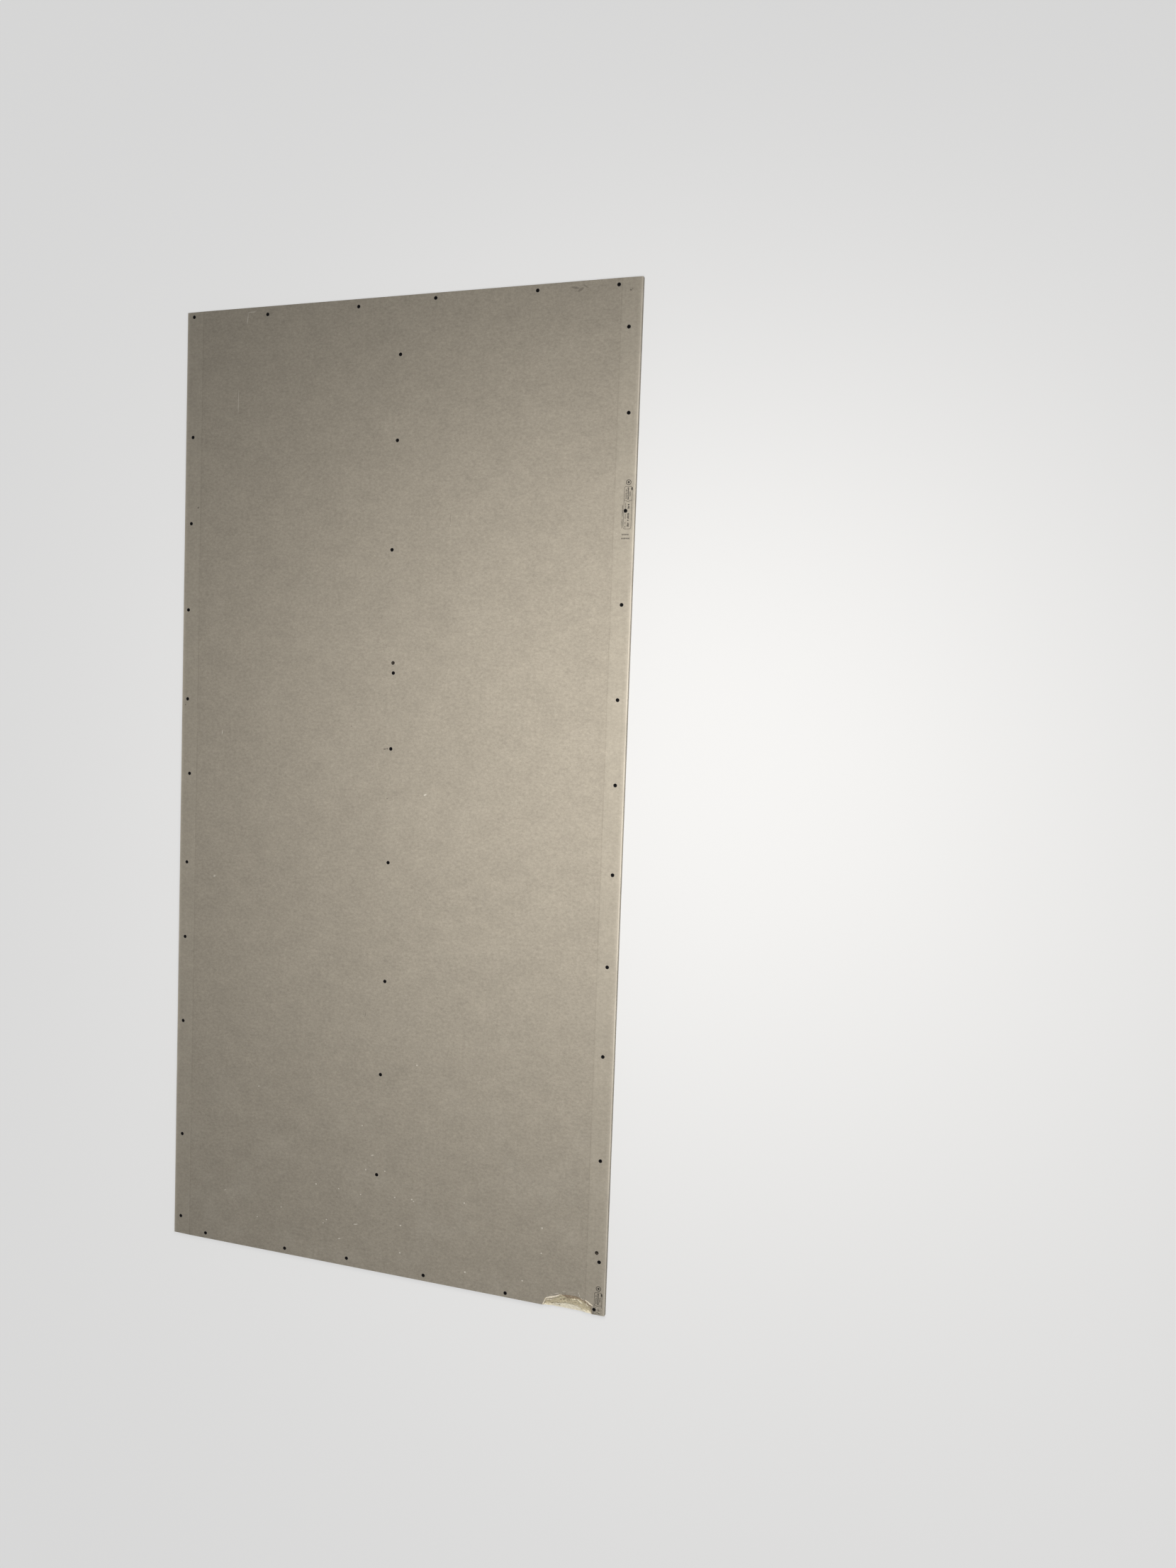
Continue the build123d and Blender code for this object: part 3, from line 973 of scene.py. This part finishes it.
def ink_bar(work, across, down, wide, tall, turn=0.0):
    """A bar of ink with its middle on the tape, its width across the sheet, its height and its turn."""
    bar = bmesh.ops.create_grid(work, x_segments=1, y_segments=1, size=0.5)["verts"]
    shape = Matrix.Diagonal((wide / 1000, tall / 1000, 1.0, 1.0))
    place = Matrix.Translation((*tape(across, down), 0.0))
    shape = place @ Matrix.Rotation(math.radians(turn), 4, "Z") @ shape
    bmesh.ops.transform(work, matrix=shape, verts=bar)


def ink_frame(work, across, down, wide, tall, corner_radius):
    """A frame with rounded corners, drawn by a stroke of ink."""
    loops = []
    for inset in (0.0, stroke):
        corners = []
        for turn, (sign_x, sign_y) in enumerate(((1, 1), (-1, 1), (-1, -1), (1, -1))):
            for part in range(6):
                angle = math.pi / 2 * (turn + part / 5)
                radius = corner_radius - inset
                x = across + sign_x * (wide / 2 - corner_radius) + radius * math.cos(angle)
                y = down - sign_y * (tall / 2 - corner_radius) - radius * math.sin(angle)
                corners.append(work.verts.new((*tape(x, y), 0.0)))
        loops += [work.edges.new(pair) for pair in zip(corners, corners[1:] + corners[:1])]
    bmesh.ops.bridge_loops(work, edges=loops)


def ink_print(work, across, start, stop, size, seed):
    """A line of print that runs down the sheet, as short ticks of uneven width: too small to hold words."""
    typed = random.Random(seed)
    down = start
    while down < stop - 0.6:
        tick = typed.uniform(0.9, 2.0)
        if typed.random() < 0.95:
            shift = typed.uniform(-0.12, 0.12) * size
            ink_bar(work, across + shift, down + tick / 2, size * typed.uniform(0.65, 1.05), tick)
        down += tick + typed.uniform(0.25, 0.45)


def works_stamp(work, top):
    """One stamp whose ring's middle stands so far down the tape."""
    middle = (*tape(ring_line, top), 0.0)
    rings = []
    for radius in (0.0062, 0.0048):
        ring = bmesh.ops.create_circle(work, cap_ends=False, segments=40, radius=radius)["verts"]
        bmesh.ops.translate(work, vec=middle, verts=ring)
        rings += ring
    sides = dict.fromkeys(edge for corner in rings for edge in corner.link_edges)
    bmesh.ops.bridge_loops(work, edges=list(sides))
    dot = bmesh.ops.create_circle(work, cap_ends=True, segments=28, radius=0.0026)["verts"]
    bmesh.ops.translate(work, vec=middle, verts=dot)
    ink_frame(work, 1183.5, top + 57, 19.0, 96.0, 4.5)
    ink_bar(work, 1179.1, top + 41.6, 9.6, stroke, -22)
    ink_bar(work, 1187.9, top + 41.6, 9.6, stroke, 22)
    ink_bar(work, 1191.9, top + 14.6, 3.4, 6.4)
    for number, (across, start, stop, size) in enumerate(print_lines):
        ink_print(work, across, top + start, top + stop, size, stamp_seed + number)
    ink_bar(work, 1185.0, top + 85.5, 2.6, 2.6)
    ink_print(work, 1185.2, top + 91, top + 98, 4.6, stamp_seed + len(print_lines))
    for row, across, stop in ((117.5, 1172.0, 1188.0), (126.0, 1171.0, 1189.5)):
        typed = random.Random(stamp_seed + int(row))
        while across < stop:
            wide = typed.uniform(0.8, 1.5)
            ink_bar(work, across + wide / 2, top + row, wide, typed.uniform(2.7, 3.4))
            across += wide + typed.uniform(0.5, 0.9)


def cut_across(work, y, clear_below=False):
    """Cuts the ink straight across the sheet, and can clear what lies nearer to the bottom end."""
    bmesh.ops.bisect_plane(
        work, geom=work.verts[:] + work.edges[:] + work.faces[:], plane_co=(0.0, y, 0.0),
        plane_no=(0.0, 1.0, 0.0), clear_inner=clear_below,
    )


def print_stamps():
    """Both stamps, cut off at the sheet's end. They are cut into small faces first, so that the ink can be
    left out over a screw seat and rubbed off here and there on the scuffed spot."""
    work = bmesh.new()
    for top in stamp_tops:
        works_stamp(work, top)
    for start in cut_starts:
        for step in range(cut_count):
            y = half_length - (start + cut_step * step) / 1000
            if y < 0.0002 - half_length:
                break
            cut_across(work, y)
    cut_across(work, 0.0003 - half_length, clear_below=True)
    rubbed = random.Random(9)
    scuffed = tape(*scuff_middle)
    gone = []
    for face in work.faces:
        x, y, _ = face.calc_center_median()
        on_scuff = math.hypot(x - scuffed[0], y - scuffed[1]) < scuff_radius
        rubbed_off = on_scuff and rubbed.random() < scuffed_share
        if rubbed_off or over_seat(x, y, ink_off_seat):
            gone.append(face)
    bmesh.ops.delete(work, geom=gone, context="FACES")
    for corner in work.verts:
        corner.co.z = face_height(corner.co.x) + ink_height
    for corner in backed(work):
        corner.co.z -= 2 * ink_height
    link_piece("works_stamps", work, ink_material(), 40.0)


print_stamps()


# Floor, lamp, surroundings and camera. The sheet lies on a plain pale floor under soft light that comes
# mostly from above its right half. The camera looks down on it as the photograph looks at it.
def plain_floor():
    """A wide disc just under the sheet. It glows for the camera alone, which puts no light on the sheet."""
    work = bmesh.new()
    bmesh.ops.create_circle(work, cap_ends=True, segments=96, radius=14.0)
    bmesh.ops.translate(work, verts=work.verts, vec=(0.0, 0.0, -0.0002))
    floor = put_in_scene("floor", finished_mesh("floor", work))
    material, wiring, shader, place = new_material("pale_floor")
    cloudy = wiring.noise(place, 0.8, detail=3.0)
    wiring.feed(shader["Base Color"], wiring.mixed(cloudy, colour(124, 123, 121), colour(128, 127, 125)))
    seen = wiring.node("LightPath", {}, output="Is Camera Ray")
    wiring.feed(shader["Emission Color"], (1.0, 1.0, 1.0, 1.0))
    wiring.feed(shader["Emission Strength"], wiring.product(seen, 0.60))
    wiring.feed(shader["Roughness"], 0.9)
    floor.data.materials.append(material)


def soft_lamp(name, place, target, size, watts, tint):
    """A round lamp of so many metres across, turned to its target."""
    lamp = bpy.data.lights.new(name, "AREA")
    lamp.shape = "DISK"
    lamp.size = size
    lamp.energy = watts
    lamp.color = tint
    holder = put_in_scene(name, lamp)
    holder.location = place
    holder.rotation_euler = (Vector(target) - Vector(place)).to_track_quat("-Z", "Y").to_euler()


def pale_surroundings(overhead, low_down, seen_strength):
    """A plain pale room. More of its light comes from low down all round, so that it reaches the ends."""
    world = bpy.data.worlds.new("soft_room")
    world.use_nodes = True
    wiring = Wiring(world.node_tree)
    background = world.node_tree.nodes["Background"].inputs
    direction = wiring.node("TexCoord", {}, output="Generated")
    up = wiring.most(wiring.node("SeparateXYZ", {0: direction}, output="Z"), 0.0)
    glow = wiring.math("POWER", wiring.minus(1.0, up), 4.0)
    glow = wiring.math("MULTIPLY_ADD", glow, low_down, overhead)
    rays = wiring.node("LightPath", {}).node.outputs
    seen = wiring.most(rays["Is Camera Ray"], rays["Is Glossy Ray"], rays["Is Transmission Ray"])
    wiring.feed(background["Color"], (0.985, 0.99, 1.0, 1.0))
    wiring.feed(background["Strength"], wiring.mixed_value(seen, glow, seen_strength))
    bpy.context.scene.world = world


plain_floor()
pale_surroundings(0.20, 1.0, 0.70)
soft_lamp("right_lamp", (0.85, 0.35, 1.45), (0.55, -0.75, 0.0), 1.0, 32.0, (1.0, 0.98, 0.95))

view = bpy.data.cameras.new("photo_view")
view.sensor_width = 36.0
view.lens = 26.69
view_holder = put_in_scene("photo_view", view)
view_holder.location = (1.3195, 0.2176, 2.5787)
view_holder.rotation_euler = [math.radians(turn) for turn in (-2.788, 17.558, 2.156)]
bpy.context.scene.camera = view_holder
bpy.context.scene.view_settings.view_transform = "Standard"
